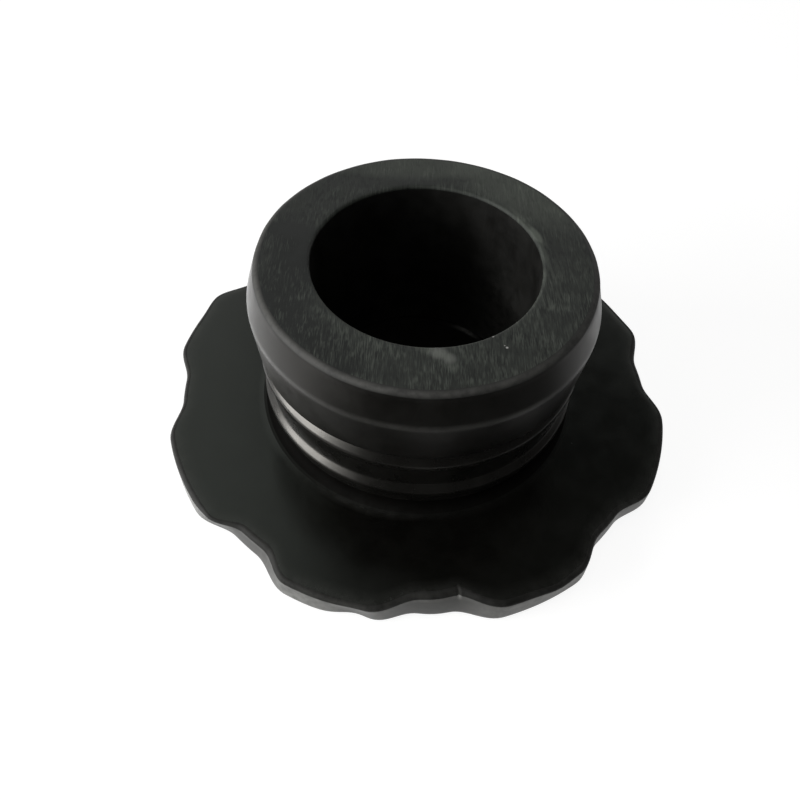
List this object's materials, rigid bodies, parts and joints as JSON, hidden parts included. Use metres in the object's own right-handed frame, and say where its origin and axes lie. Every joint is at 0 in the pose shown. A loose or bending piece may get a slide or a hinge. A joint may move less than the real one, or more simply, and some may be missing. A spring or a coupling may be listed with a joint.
{
  "type": "oil filler cap",
  "caption": "Moulded push-in oil filler cap: a flat fluted grip disc and a thick hollow neck with a retaining barb at its open end and narrow sealing ribs.",
  "frame": {"origin": "centre of the grip's flat outer face, which the cap rests on", "axes": "+Z along the neck, from the grip towards the neck's open end; +X and -Y each through the middle of a finger flute"},
  "size_m": [0.0664, 0.0664, 0.027],
  "materials": {
    "black_rubber": "black moulded rubber, semi-gloss on the grip and ribs, matte and finely scratched on the ground end face and barb"
  },
  "bodies": {
    "root": {"filler_cap": "black_rubber"}
  },
  "joints": []
}
